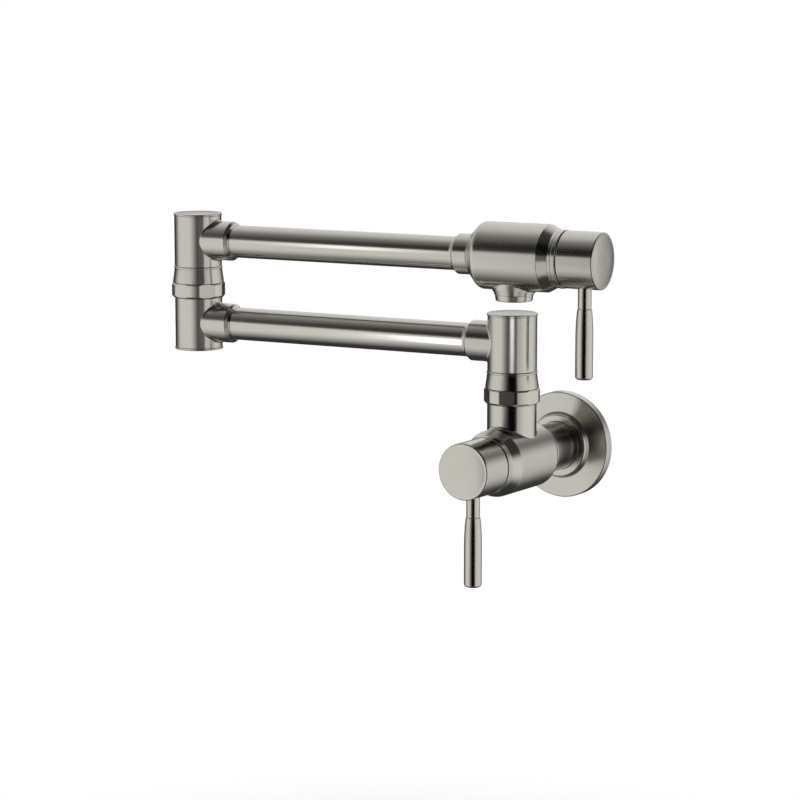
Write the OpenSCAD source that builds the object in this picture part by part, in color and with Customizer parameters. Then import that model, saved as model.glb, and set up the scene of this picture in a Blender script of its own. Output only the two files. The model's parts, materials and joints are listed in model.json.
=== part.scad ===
// Wall-mounted double-jointed pot filler with two quarter-turn valves.
// Millimetres. Origin: inlet axis on the wall plane. +Z up, -Y out into the room,
// +X to the right of someone who faces the wall. The arms are folded along -X.

/* [Layout] */
// Distance from the wall to the axis of the base column
column_out = 62.2; // [60:0.2:72]
// Length of both arms, swivel axis to swivel axis
arm_len = 211.5; // [150:0.5:245]
// Outlet axis past the base column when the arms are folded
outlet_past = 1; // [-10:0.5:40]
// Turn of the folded arms away from the wall, in degrees
arm_turn = 6; // [0:1:30]

/* [Wall flange] */
// Diameter of the flange
flange_d = 63.5; // [56:0.5:80]
// Height of the flange at its rim
flange_rim_h = 6; // [5:0.2:8]
// Height of the flange's face where it meets the collar ring
flange_face_h = 6.9; // [6.5:0.1:9]
// Outer diameter of the raised collar ring, at the top of its flank
flange_ring_d = 37.2; // [35:0.2:42]
// Width of the collar ring's sloping flank
flange_ring_flank = 1.3; // [0.4:0.1:2.5]
// Height of the raised collar ring above the wall
flange_ring_h = 10.2; // [9.5:0.1:14]
// Thickness of the rubber gasket behind the flange
gasket_h = 1.5; // [1:0.1:2.5]
// Width of the gasket ring
gasket_w = 7; // [4:0.5:9]

/* [Inlet] */
// Outer diameter of the inlet shank, the riser and the swivel barrels
pipe_d = 28.7; // [28:0.1:29.2]
// Diameter of the female inlet thread
inlet_d = 18.6; // [18:0.1:19.5]
// Depth of the female inlet thread
inlet_depth = 15; // [12:0.5:18]
// Water passage through the shank
shank_bore_d = 13; // [9:0.5:14]
// Spigot of the shank inside the valve body
shank_spigot_d = 23; // [20:0.5:24]
// Length of that spigot
shank_spigot_l = 9.8; // [6:0.2:10]

/* [Valve bodies] */
// Diameter of the valve body and of the head body
body_d = 39; // [37:0.2:42]
// Length of the straight part of both bodies
body_l = 39.5; // [38:0.5:44]
// Front shoulder of both bodies, along the axis
shoulder_l = 5.5; // [4:0.1:6]
// Diameter of the neck in front of the shoulder
neck_d = 33.2; // [32:0.1:34]
// Length of that neck
neck_l = 2; // [1:0.1:4]
// Rear shoulder and rear neck of the valve body, along the axis
valve_rear_l = 6.8; // [6:0.1:9]
// Rear shoulder of the head body, along the axis
head_rear_l = 8.4; // [7:0.1:9]
// Height of the riser's shoulder above the valve axis
riser_top = 32.7; // [29:0.1:40]

/* [Swivels] */
// Height of the hex nut
nut_h = 8.8; // [8:0.1:12]
// Diameter of the nut's turned rim
nut_d = 32.5; // [31.6:0.1:34]
// Width of the nut across its six flats
nut_flats = 31; // [30:0.1:31.4]
// Height of the flared collar
collar_h = 10.05; // [9:0.05:14]
// Diameter of the collar at its wide foot
collar_foot_d = 31.2; // [30:0.1:31.4]
// Diameter of the collar's top lip
collar_lip_d = 29.5; // [29.2:0.1:29.9]
// Thickness of the swivel's O-rings
o_ring_t = 2; // [1.6:0.1:2.2]

/* [Arms] */
// Outer diameter of the arm tubes
tube_d = 19.5; // [18:0.1:20]
// Wall of the arm tubes
tube_wall = 1.5; // [1:0.1:2]
// Outer diameter of the sockets that hold the tubes
socket_d = 23.6; // [22.6:0.1:25]
// Reach of a socket from its column's axis
socket_reach = 30.5; // [24:0.5:36]
// Column axis down to the lower face of a barrel with a collar
barrel_below = 16; // [14.5:0.1:18]
// Arm axis up to the shoulder or cap of a mid barrel
barrel_above = 15; // [14.5:0.1:18]
// Arm axis up to the cap of the base barrel
base_barrel_above = 16.2; // [14.5:0.1:18]
// Arm axis down to the cap of the lower mid barrel
barrel_bottom = 15.5; // [14.5:0.1:18]
// Length of the tapered end of a socket
socket_taper = 5.5; // [1:0.5:7]
// Thickness of the caps at their edge
cap_h = 1.2; // [0.9:0.1:2]
// Overhang of the caps past the barrel
cap_lip = 0.35; // [0.1:0.05:0.6]

/* [Head] */
// Outlet axis back from the middle of the head body
outlet_back = 2.4; // [1.5:0.1:3.5]
// Diameter of the outlet spigot
outlet_d = 23.8; // [22.8:0.1:25]
// Length of the outlet spigot below the head body
outlet_l = 2.3; // [1:0.1:2.5]
// Diameter of the aerator ring
aerator_d = 21.8; // [21:0.1:22.6]
// Visible height of the aerator ring
aerator_h = 3.7; // [2.5:0.1:4.2]
// Diameter of the aerator's insert
insert_d = 16.6; // [14:0.1:17]
// Length of the collar that joins the arm tube to the head
head_collar_l = 12.5; // [8:0.1:14]

/* [Handles] */
// Diameter of the handle hubs
hub_d = 32.9; // [31:0.1:33.4]
// Length of a hub up to its end face
hub_l = 22.5; // [21:0.1:28]
// Rounded edge of the end face
hub_round = 1.2; // [0.4:0.1:2]
// Crown of the end face
hub_crown = 0.8; // [0.4:0.1:3]
// Gap between a hub and its bonnet
hub_gap = 0.5; // [0.3:0.05:1]
// Lever axis ahead of the hub's rear edge
lever_at = 11.3; // [9:0.1:13]
// Diameter of the lever's neck
lever_neck_d = 7.8; // [7:0.1:8.2]
// Valve axis to the line between neck and grip
lever_neck_end = 27.8; // [22:0.2:34]
// Diameter of the grip at that line
grip_start_d = 8.4; // [8:0.1:9]
// Full diameter of the grip
grip_d = 10.2; // [9:0.1:12]
// Length of the grip
grip_l = 40.5; // [30:0.5:60]

/* [Cartridges] */
// Middle of the body back to the cartridge's seat
seat_back = 10; // [9.5:0.1:12]
// Outer diameter of the cartridge tube
cartridge_d = 18; // [17:0.1:19]
// Outer diameter of the cartridge's threaded collar
cartridge_collar_d = 24.6; // [23:0.1:25]
// Length of that threaded collar
cartridge_collar_l = 8; // [6:0.2:10]
// Width of the cartridge's hex across flats
cartridge_flats = 19; // [17:0.5:20]
// Height of that hex
cartridge_hex_l = 5; // [3:0.2:6]
// Thickness of a ceramic disc
disc_h = 2.8; // [2:0.1:3.2]
// Diameter of the cartridge stem
stem_d = 8; // [6.5:0.1:8.5]
// Width of the bonnet ring, along the axis
bonnet_l = 2.8; // [2:0.1:5]
// Diameter of the bonnet ring
bonnet_d = 33.6; // [32:0.1:34.4]

/* [Hidden] */
// Fine round shapes
$fn = 96;

// Colours
nickel = "#bcb8af";
rubber_black = "#2b2b2b";
plastic_white = "#e6e4de";
ceramic_grey = "#d9d6cf";
brass_yellow = "#b79a58";

// Clearances and small shared sizes
fit_gap = 0.05;       // radial gap of threads, spigots and running fits
film = 0.02;          // gap between faces that slide on each other
overrun = 1;          // how far a cut runs past the face that it opens
edge = 0.4;           // broken edge of turned pieces
arc_steps = 12;       // steps in one quarter of a profile arc

// Swivel stack, measured up from the shoulder that carries the nut
barrel_wall = 3.85;
chamber_d = pipe_d - 2 * barrel_wall;
stub_h = nut_h / 2;
stub_inset = 2.35;
stub_d = pipe_d - 2 * stub_inset;
post_flange_inset = 0.5;
post_flange_d = stub_d - 2 * post_flange_inset;
post_flange_h = 2;
post_inset = 6.35;
post_d = pipe_d - 2 * post_inset;
post_wall = 3.5;
post_bore_d = post_d - 2 * post_wall;
nut_lip_gap = 2;
nut_lip_bore_d = post_d + nut_lip_gap;
nut_foot_edge = 1.3;
nut_top_edge = 0.6;
post_seat_depth = 6.8;
post_seat_wall = 0.5;
post_seat_d = post_d + 2 * post_seat_wall;
glide_gap = 0.15;
glide_ring_h = 1.2;
glide_ring_w = 3.4;
collar_z = nut_h + glide_gap;
barrel_z = collar_z + collar_h;
collar_spigot_l = 5.5;
collar_spigot_wall = 0.5;
collar_spigot_d = chamber_d + 2 * collar_spigot_wall;
washer_h = 0.8;
circlip_h = 1;
circlip_groove = 0.8;
circlip_w = 2.2;
circlip_open = 6;
post_end = 1.6;
spigot_top = barrel_z + collar_spigot_l;
circlip_z = spigot_top + film + washer_h + film;
post_top = circlip_z + circlip_h + post_end;
o_ring_spacing = 5;
o_ring_mid = collar_z + collar_h / 2 + o_ring_t;
swivel_o_ring_z = [o_ring_mid - o_ring_spacing / 2, o_ring_mid + o_ring_spacing / 2];
swivel_o_ring_d = post_d + 2 * fit_gap - 2 * film;
lip_h = 1.4;
lip_line = 0.3;

// Turn of each nut about its column, in degrees
base_nut_turn = 21;
mid_nut_turn = -10;

// Heights of the arms
lower_arm_z = riser_top + barrel_z + barrel_below;
mid_shoulder_z = lower_arm_z + barrel_above;
upper_arm_z = mid_shoulder_z + barrel_z + barrel_below;

// Arms
tube_seat = 13;
tube_bore_d = tube_d - 2 * tube_wall;
cap_crown = 0.3;
cap_round = 0.7;
cap_spigot_l = 4;
socket_drop = 1.6;

// Valve body and head body, measured along the axis from the middle of the body
half_l = body_l / 2;
neck_start = half_l + shoulder_l;
neck_end = neck_start + neck_l;
water_d = 11;
body_chamber_d = cartridge_collar_d + 2 * fit_gap;
mouth_d = 27.2;
rear_spigot_d = 21.2;
rear_spigot_l = 9.2;
valve_rear_d = 33;
valve_neck_l = 1.8;
valve_rear_lead = 1.2;
head_rear_d = 24.2;
rear_round = 4;
mouth_start = 20;
seal_h = 1.2;
disc_d = 13.9;
disc_port_d = 4.4;
disc_port_at = 3.6;
driver_w = 6.4;
driver_h = 1.8;
window_w = 8;
window_l = 4;
cartridge_bore_d = disc_d + 2 * fit_gap;
seal_z = -seat_back;
cartridge_z = seal_z + seal_h;
moving_z = cartridge_z + disc_h + film;
driver_z = moving_z + disc_h;
guide_z = driver_z + driver_h + window_l;
collar_start = mouth_start - cartridge_collar_l;
stem_o_ring_at = 5;
stem_o_ring_z = guide_z + stem_o_ring_at;
stem_o_ring_t = 1.1;
bonnet_end = neck_end + bonnet_l;
bonnet_bore_d = 23.6;

// Handles
hub_start = bonnet_end + hub_gap;
hub_end = hub_start + hub_l;
hub_hollow_d = 24.8;
hub_hollow_l = 4;
stem_flat = 0.8;
stem_end = 6.5;
lever_z = hub_start + lever_at;
lever_stud_d = 5.9;
grip_stud_d = 4.8;
grip_stud_l = 8;
spot_depth = 0.6;
grip_round = 1.8;
grip_swell_share = 0.4;
stem_top = hub_end - stem_end;
// Radius of the sphere that crowns the hub's end face
crown_r = (pow(hub_d / 2 - hub_round, 2) + pow(hub_crown, 2)) / (2 * hub_crown);

// Places of the wall valve and of the head
head_x = outlet_past + outlet_back;
valve_rear_y = column_out - half_l - valve_rear_l;
riser_ledge = 1.5;
riser_bore_d = post_seat_d - 2 * riser_ledge;
upper_tube_end = head_x - half_l - head_rear_l + rear_spigot_l - tube_wall;

// Outlet and aerator
outlet_drop = body_d / 2 + outlet_l;
outlet_bore_d = 19.7;
outlet_bore_l = 4.3;
outlet_seat = outlet_drop - outlet_bore_l;
outlet_water_d = 12;
aerator_lip_h = 0.6;
aerator_lip = 0.8;
aerator_round = 1;
jet_d = 1.7;
jet_rings = 2;
jet_pitch = 3.2;

// Gasket and flange details
gasket_in = 4.5;
rim_round = 0.8;
ring_round = 1.5;
flange_o_ring_t = 2;
flange_o_ring_y = 3.4;

// A quarter of an ellipse as profile points, from angle a0 to a1 in degrees
function arc(cx, cy, rx, ry, a0, a1) =
    [for (i = [0:arc_steps]) let (a = a0 + (a1 - a0) * i / arc_steps) [cx + rx * cos(a), cy + ry * sin(a)]];

// Height of the hub's crown at radius r
function crown_h(r) = hub_crown - crown_r + sqrt(pow(crown_r, 2) - pow(r, 2));

// Local +Z points out into the room and local -Y points down
module along_out() rotate([90, 0, 0]) children();

// Local +Z points along +X and local -Y points down
module along_arm() rotate([0, 90, 0]) rotate([0, 0, 90]) children();

module at_wall_valve() translate([0, -column_out, 0]) along_out() children();

// The base column's axis, turned with the folded arms; the arms lie along local X
module at_arms(x, z) translate([0, -column_out, 0]) rotate([0, 0, arm_turn]) translate([x, 0, z]) children();

module at_head() at_arms(head_x, upper_arm_z) along_arm() children();

module at_base() translate([0, -column_out, riser_top]) children();

module at_mid() at_arms(-arm_len, mid_shoulder_z) children();

module at_lower_arm(x) at_arms(x, lower_arm_z) children();

module at_upper_arm(x) at_arms(x, upper_arm_z) children();

// A turned piece from a profile of [radius, height] points
module turned(points) rotate_extrude() polygon(points);

// A plain ring with its lower face at z
module ring(d_out, d_in, z, h) translate([0, 0, z]) difference() {
    cylinder(d = d_out, h = h);
    translate([0, 0, -overrun]) cylinder(d = d_in, h = h + 2 * overrun);
}

// A cut that opens a bore from z0 to z1
module bore(d, z0, z1) translate([0, 0, z0]) cylinder(d = d, h = z1 - z0);

// A round rubber ring of thickness t whose outer edge has diameter d
module o_ring(d, t, z) translate([0, 0, z]) rotate_extrude() translate([(d - t) / 2, 0])
    circle(d = t, $fn = 32);

// The groove that seats such a ring
module o_ring_groove(d, t, z, open_d) translate([0, 0, z - t / 2 - fit_gap]) difference() {
    cylinder(d = open_d, h = t + 2 * fit_gap);
    translate([0, 0, -overrun]) cylinder(d = d - 2 * t, h = t + 2 * overrun);
}

// WALL FLANGE AND INLET

module wall_flange() color(nickel) along_out() difference() {
    turned(concat(
        [[pipe_d / 2 + fit_gap, 0], [flange_d / 2, 0]],
        arc(flange_d / 2 - rim_round, flange_rim_h - rim_round, rim_round, rim_round, 0, 90),
        [[flange_ring_d / 2 + flange_ring_flank, flange_face_h]],
        arc(flange_ring_d / 2 - ring_round, flange_ring_h - ring_round, ring_round, ring_round, 0, 90),
        [[pipe_d / 2 + fit_gap, flange_face_h]]));
    gasket_recess();
    o_ring_groove(pipe_d + 2 * flange_o_ring_t, flange_o_ring_t, flange_o_ring_y,
        pipe_d + 2 * flange_o_ring_t);
}

module gasket_recess()
    ring(flange_d - gasket_in, flange_d - gasket_in - 2 * gasket_w, -overrun, gasket_h + overrun);

module flange_gasket() color(rubber_black) along_out()
    ring(flange_d - gasket_in - 2 * fit_gap, flange_d - gasket_in - 2 * gasket_w + 2 * fit_gap, 0, gasket_h);

module flange_o_ring() color(rubber_black) along_out()
    o_ring(pipe_d + 2 * flange_o_ring_t, flange_o_ring_t, flange_o_ring_y);

module inlet_shank() color(nickel) along_out() difference() {
    union() {
        cylinder(d = pipe_d, h = valve_rear_y);
        cylinder(d = shank_spigot_d, h = valve_rear_y + shank_spigot_l);
    }
    bore(inlet_d, -overrun, inlet_depth);
    bore(shank_bore_d, 0, valve_rear_y + shank_spigot_l + overrun);
}

// VALVE BODIES

// Outer shape of a body: conical rear shoulder with a rounded corner, barrel, front shoulder and neck.
// The rear shoulder can end in a rear neck and can start ahead of the barrel's end.
module body_shell(rear_d, rear_l, rear_neck_l, lead) turned(concat(
    [[0, -half_l - rear_l], [rear_d / 2, -half_l - rear_l]],
    rear_neck_l > 0 ? [[rear_d / 2, -half_l - rear_l + rear_neck_l]] : [],
    arc(body_d / 2 - rear_round, lead - half_l, rear_round, rear_round, -45, 0),
    [[body_d / 2, half_l], [neck_d / 2, neck_start], [neck_d / 2, neck_end], [0, neck_end]]));

// Water chamber, thread for the cartridge and mouth for the bonnet
module body_bore(rear_l) {
    bore(water_d, -half_l - rear_l, -seat_back + overrun);
    bore(body_chamber_d, -seat_back, mouth_start + overrun);
    bore(mouth_d, mouth_start, neck_end + overrun);
}

module valve_body() color(nickel) difference() {
    union() {
        at_wall_valve() body_shell(valve_rear_d, valve_rear_l, valve_neck_l, valve_rear_lead);
        at_base() translate([0, 0, -riser_top]) cylinder(d = pipe_d, h = riser_top);
        at_base() cylinder(d = stub_d, h = stub_h);
    }
    at_wall_valve() {
        body_bore(valve_rear_l);
        bore(shank_spigot_d + 2 * fit_gap, -half_l - valve_rear_l - overrun,
            -half_l - valve_rear_l + shank_spigot_l);
    }
    at_base() {
        bore(riser_bore_d, -riser_top, stub_h + overrun);
        bore(post_seat_d, -post_seat_depth, stub_h + overrun);
    }
}

module head_body() color(nickel) at_head() difference() {
    union() {
        body_shell(head_rear_d, head_rear_l, 0, 0);
        downspout() cylinder(d = outlet_d, h = outlet_drop);
    }
    body_bore(head_rear_l);
    bore(rear_spigot_d + 2 * fit_gap, -half_l - head_rear_l - overrun,
        -half_l - head_rear_l + rear_spigot_l);
    downspout() cylinder(d = outlet_water_d, h = outlet_drop);
    downspout() translate([0, 0, outlet_seat]) cylinder(d = outlet_bore_d, h = outlet_drop);
}

// Local +Z of the outlet points down from the head's axis
module downspout() translate([0, 0, -outlet_back]) rotate([90, 0, 0]) children();

module aerator_ring() color(nickel) at_head() downspout() difference() {
    turned(concat(
        [[0, outlet_seat + seal_h], [outlet_bore_d / 2 - fit_gap, outlet_seat + seal_h],
        [outlet_bore_d / 2 - fit_gap, outlet_drop], [aerator_d / 2, outlet_drop]],
        arc(aerator_d / 2 - aerator_round, outlet_drop + aerator_h - aerator_round,
            aerator_round, aerator_round, 0, 90),
        [[0, outlet_drop + aerator_h]]));
    bore(insert_d, outlet_seat, outlet_drop + aerator_h - aerator_lip_h);
    bore(insert_d - 2 * aerator_lip, outlet_seat, outlet_drop + aerator_h + overrun);
}

module aerator_insert() color(plastic_white) at_head() downspout() difference() {
    bore(insert_d - 2 * fit_gap, outlet_seat + seal_h, outlet_drop + aerator_h - aerator_lip_h);
    bore(jet_d, outlet_seat, outlet_drop + aerator_h);
    for (k = [1:jet_rings])
        for (i = [0:6 * k - 1])
            rotate([0, 0, 360 * i / (6 * k)]) translate([k * jet_pitch, 0, 0])
                bore(jet_d, outlet_seat, outlet_drop + aerator_h);
}

module aerator_washer() color(rubber_black) at_head() downspout()
    ring(outlet_bore_d - 2 * fit_gap, outlet_water_d, outlet_seat, seal_h);

// CARTRIDGE, the same in both bodies

module seat_seal() color(rubber_black)
    ring(cartridge_d - 4 * fit_gap, water_d, seal_z, seal_h);

// A disc with two ports, its lower face at z, with the ports turned by an angle in degrees
module ported_disc(z, turn) color(ceramic_grey) difference() {
    bore(disc_d, z, z + disc_h);
    for (side = [-1, 1])
        rotate([0, 0, turn]) translate([side * disc_port_at, 0, 0])
            bore(disc_port_d, z - overrun, z + disc_h + overrun);
}

module fixed_disc() ported_disc(cartridge_z, 0);

module moving_disc() ported_disc(moving_z, 90);

module cartridge() color(brass_yellow) difference() {
    union() {
        bore(cartridge_d, cartridge_z, mouth_start);
        bore(cartridge_collar_d, collar_start, mouth_start);
        translate([0, 0, mouth_start]) cylinder(d = cartridge_flats / cos(30), h = cartridge_hex_l, $fn = 6);
    }
    bore(cartridge_bore_d, cartridge_z - overrun, guide_z);
    bore(stem_d + 2 * fit_gap, guide_z - overrun, mouth_start + cartridge_hex_l + overrun);
    translate([-cartridge_d, -window_w / 2, driver_z + driver_h])
        cube([2 * cartridge_d, window_w, window_l]);
}

module stem() color(brass_yellow) difference() {
    union() {
        intersection() {
            bore(disc_d - 2 * fit_gap, driver_z, driver_z + driver_h);
            translate([-disc_d, -driver_w / 2, driver_z]) cube([2 * disc_d, driver_w, driver_h]);
        }
        bore(stem_d, driver_z, stem_top);
    }
    o_ring_groove(stem_d + 2 * fit_gap - 2 * film, stem_o_ring_t, stem_o_ring_z, stem_d + overrun);
    translate([-stem_d, -stem_d / 2 - overrun, hub_start + hub_hollow_l])
        cube([2 * stem_d, stem_flat + overrun, stem_top - hub_start]);
}

module stem_o_ring() color(rubber_black)
    o_ring(stem_d + 2 * fit_gap - 2 * film, stem_o_ring_t, stem_o_ring_z);

module bonnet() color(nickel) difference() {
    union() {
        bore(mouth_d - 2 * fit_gap, mouth_start, neck_end);
        turned([[0, neck_end], [bonnet_d / 2 - edge, neck_end], [bonnet_d / 2, neck_end + edge],
            [bonnet_d / 2, bonnet_end - edge], [bonnet_d / 2 - edge, bonnet_end], [0, bonnet_end]]);
    }
    bore(bonnet_bore_d, mouth_start - overrun, bonnet_end + overrun);
}

// HANDLE, the same on both valves; the lever points along local -Y

module hub() color(nickel) difference() {
    turned(concat(
        [[0, hub_start], [hub_d / 2 - edge, hub_start], [hub_d / 2, hub_start + edge]],
        arc(hub_d / 2 - hub_round, hub_end - hub_round, hub_round, hub_round, 0, 90),
        [for (i = [1:arc_steps]) let (r = (hub_d / 2 - hub_round) * (1 - i / arc_steps))
            [r, hub_end + crown_h(r)]]));
    bore(hub_hollow_d, hub_start - overrun, hub_start + hub_hollow_l);
    difference() {
        bore(stem_d + 2 * fit_gap, hub_start, stem_top + fit_gap);
        translate([-stem_d, -stem_d, hub_start + hub_hollow_l])
            cube([2 * stem_d, stem_d / 2 + stem_flat - fit_gap, stem_top]);
    }
    lever_way() bore(lever_stud_d + 2 * fit_gap, 0, hub_d);
    lever_way() bore(lever_neck_d + 2 * fit_gap, hub_d / 2 - spot_depth, hub_d);
}

// Local +Z of the lever points away from the hub's axis
module lever_way() translate([0, 0, lever_z]) rotate([90, 0, 0]) children();

module lever_neck() color(nickel) lever_way() {
    bore(lever_stud_d, stem_d / 2 - stem_flat + fit_gap, hub_d / 2);
    bore(lever_neck_d, hub_d / 2 - spot_depth, lever_neck_end);
    bore(grip_stud_d, lever_neck_end, lever_neck_end + grip_stud_l);
}

// Radius of the grip at share t of its length: it swells, then runs straight
function grip_r(t) = grip_start_d / 2 + (grip_d - grip_start_d) / 2
    * (1 - pow(1 - min(t / grip_swell_share, 1), 2));

module lever_grip() color(nickel) lever_way() difference() {
    turned(concat(
        [[0, lever_neck_end]],
        [for (i = [0:arc_steps]) let (t = grip_swell_share * i / arc_steps)
            [grip_r(t), lever_neck_end + grip_l * t]],
        arc(grip_d / 2 - grip_round, lever_neck_end + grip_l - grip_round, grip_round, grip_round, 0, 90),
        [[0, lever_neck_end + grip_l]]));
    bore(grip_stud_d + 2 * fit_gap, lever_neck_end - overrun, lever_neck_end + grip_stud_l + fit_gap);
}

// SWIVEL, the same at the base and in the middle; z = 0 is the shoulder under the nut

module swivel_nut(turn) color(nickel) difference() {
    intersection() {
        turned([[0, 0], [nut_d / 2 - nut_foot_edge, 0], [nut_d / 2, nut_foot_edge],
            [nut_d / 2, nut_h - nut_top_edge], [nut_d / 2 - nut_top_edge, nut_h], [0, nut_h]]);
        rotate([0, 0, turn]) cylinder(d = nut_flats / cos(30), h = nut_h, $fn = 6);
    }
    bore(stub_d + 2 * fit_gap, -overrun, stub_h + post_flange_h + fit_gap);
    bore(nut_lip_bore_d, 0, nut_h + overrun);
}

module swivel_post() color(brass_yellow) difference() {
    union() {
        bore(post_seat_d - 2 * fit_gap, -post_seat_depth, stub_h);
        bore(post_flange_d, stub_h, stub_h + post_flange_h);
        bore(post_d, stub_h, post_top);
    }
    bore(post_bore_d, -post_seat_depth - overrun, post_top + overrun);
    for (z = swivel_o_ring_z) o_ring_groove(swivel_o_ring_d, o_ring_t, z, post_d + overrun);
    ring(post_d + overrun, post_d - 2 * circlip_groove, circlip_z, circlip_h + film);
}

module swivel_o_rings() color(rubber_black) for (z = swivel_o_ring_z) o_ring(swivel_o_ring_d, o_ring_t, z);

module swivel_glide_ring() color(plastic_white)
    ring(nut_lip_bore_d + 2 * glide_ring_w, nut_lip_bore_d, nut_h, glide_ring_h);

module swivel_thrust_washer() color(plastic_white)
    ring(chamber_d - circlip_groove, post_d + 2 * fit_gap, spigot_top + film, washer_h);

module swivel_circlip() color(brass_yellow) difference() {
    ring(post_d - 2 * circlip_groove + 2 * circlip_w, post_d - 2 * circlip_groove + 2 * fit_gap,
        circlip_z, circlip_h);
    translate([0, -circlip_open / 2, circlip_z - overrun])
        cube([post_d, circlip_open, circlip_h + 2 * overrun]);
}

module swivel_collar() color(nickel) difference() {
    turned([[0, collar_z], [collar_foot_d / 2 - edge, collar_z], [collar_foot_d / 2, collar_z + edge],
        [collar_lip_d / 2 - lip_line, barrel_z - lip_h - lip_line],
        [collar_lip_d / 2 - lip_line, barrel_z - lip_h],
        [collar_lip_d / 2, barrel_z - lip_h + lip_line], [collar_lip_d / 2, barrel_z - lip_line],
        [collar_lip_d / 2 - lip_line, barrel_z],
        [collar_spigot_d / 2, barrel_z], [collar_spigot_d / 2, spigot_top], [0, spigot_top]]);
    bore(post_d + 2 * fit_gap, 0, spigot_top + overrun);
    ring(nut_lip_bore_d + 2 * glide_ring_w + 4 * fit_gap, post_d, 0, nut_h + glide_ring_h + film);
}

// ELBOWS; the origin is where the arm's axis crosses the column

// Turned barrel from z0 to z1 with broken edges, and the socket towards +X or -X
module elbow_shell(z0, z1, side) {
    turned([[0, z0], [pipe_d / 2 - edge, z0], [pipe_d / 2, z0 + edge], [pipe_d / 2, z1 - edge],
        [pipe_d / 2 - edge, z1], [0, z1]]);
    toward(side) turned([[0, 0], [socket_d / 2, 0], [socket_d / 2, socket_reach - socket_taper],
        [socket_d / 2 - socket_drop, socket_reach], [0, socket_reach]]);
}

module toward(side) rotate([0, 90 * side, 0]) children();

module socket_bore(side) toward(side) {
    bore(tube_bore_d, 0, socket_reach);
    bore(tube_d + 2 * fit_gap, tube_seat, socket_reach + overrun);
}

module collar_elbow(above, side) color(nickel) difference() {
    elbow_shell(-barrel_below, above, side);
    bore(collar_spigot_d + 2 * fit_gap, -barrel_below - overrun, -barrel_below + collar_spigot_l + fit_gap);
    bore(chamber_d, -barrel_below, above + overrun);
    socket_bore(side);
}

module cap(z, up) color(nickel) translate([0, 0, z]) mirror([0, 0, up ? 0 : 1]) {
    turned(concat([[0, 0], [pipe_d / 2 + cap_lip - edge, 0], [pipe_d / 2 + cap_lip, edge]],
        arc(pipe_d / 2 + cap_lip - cap_round, cap_h - cap_round, cap_round, cap_round, 0, 90),
        [[0, cap_h + cap_crown]]));
    translate([0, 0, -cap_spigot_l]) cylinder(d = chamber_d - 2 * fit_gap, h = cap_spigot_l);
}

module base_elbow() at_lower_arm(0) collar_elbow(base_barrel_above, -1);

module base_cap() at_lower_arm(0) cap(base_barrel_above, true);

module mid_lower_elbow() color(nickel) difference() {
    union() {
        at_lower_arm(-arm_len) elbow_shell(-barrel_bottom, barrel_above, 1);
        at_mid() cylinder(d = stub_d, h = stub_h);
    }
    at_lower_arm(-arm_len) {
        bore(chamber_d, -barrel_bottom - overrun, barrel_above - post_seat_depth);
        socket_bore(1);
    }
    at_mid() bore(post_seat_d, -post_seat_depth - overrun, stub_h + overrun);
}

module mid_lower_cap() at_lower_arm(-arm_len) cap(-barrel_bottom, false);

module mid_upper_elbow() at_upper_arm(-arm_len) collar_elbow(barrel_above, 1);

module mid_upper_cap() at_upper_arm(-arm_len) cap(barrel_above, true);

// TUBES

module arm_tube(l) toward(1) ring(tube_d, tube_bore_d, 0, l);

module lower_tube() color(nickel) at_lower_arm(tube_seat - arm_len)
    arm_tube(arm_len - 2 * tube_seat);

module upper_tube() color(nickel) at_upper_arm(tube_seat - arm_len)
    arm_tube(upper_tube_end + arm_len - tube_seat);

module head_collar() color(nickel) at_head() translate([0, 0, -half_l - head_rear_l]) difference() {
    union() {
        turned([[0, 0], [socket_d / 2 - edge, 0], [socket_d / 2, -edge],
            [socket_d / 2, socket_taper - head_collar_l],
            [socket_d / 2 - socket_drop, -head_collar_l], [0, -head_collar_l]]);
        bore(rear_spigot_d, -edge, rear_spigot_l);
    }
    bore(tube_bore_d, -head_collar_l, rear_spigot_l + overrun);
    bore(tube_d + 2 * fit_gap, -head_collar_l - overrun, rear_spigot_l - tube_wall);
}

// PLACED PIECES

module base_nut() at_base() swivel_nut(base_nut_turn);
module base_post() at_base() swivel_post();
module base_o_rings() at_base() swivel_o_rings();
module base_glide_ring() at_base() swivel_glide_ring();
module base_thrust_washer() at_base() swivel_thrust_washer();
module base_circlip() at_base() swivel_circlip();
module base_collar() at_base() swivel_collar();
module mid_nut() at_mid() swivel_nut(mid_nut_turn);
module mid_post() at_mid() swivel_post();
module mid_o_rings() at_mid() swivel_o_rings();
module mid_glide_ring() at_mid() swivel_glide_ring();
module mid_thrust_washer() at_mid() swivel_thrust_washer();
module mid_circlip() at_mid() swivel_circlip();
module mid_collar() at_mid() swivel_collar();
module lower_seat_seal() at_wall_valve() seat_seal();
module lower_fixed_disc() at_wall_valve() fixed_disc();
module lower_cartridge() at_wall_valve() cartridge();
module lower_bonnet() at_wall_valve() bonnet();
module lower_moving_disc() at_wall_valve() moving_disc();
module lower_stem() at_wall_valve() stem();
module lower_stem_o_ring() at_wall_valve() stem_o_ring();
module lower_hub() at_wall_valve() hub();
module lower_lever_neck() at_wall_valve() lever_neck();
module lower_lever_grip() at_wall_valve() lever_grip();
module upper_seat_seal() at_head() seat_seal();
module upper_fixed_disc() at_head() fixed_disc();
module upper_cartridge() at_head() cartridge();
module upper_bonnet() at_head() bonnet();
module upper_moving_disc() at_head() moving_disc();
module upper_stem() at_head() stem();
module upper_stem_o_ring() at_head() stem_o_ring();
module upper_hub() at_head() hub();
module upper_lever_neck() at_head() lever_neck();
module upper_lever_grip() at_head() lever_grip();

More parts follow.
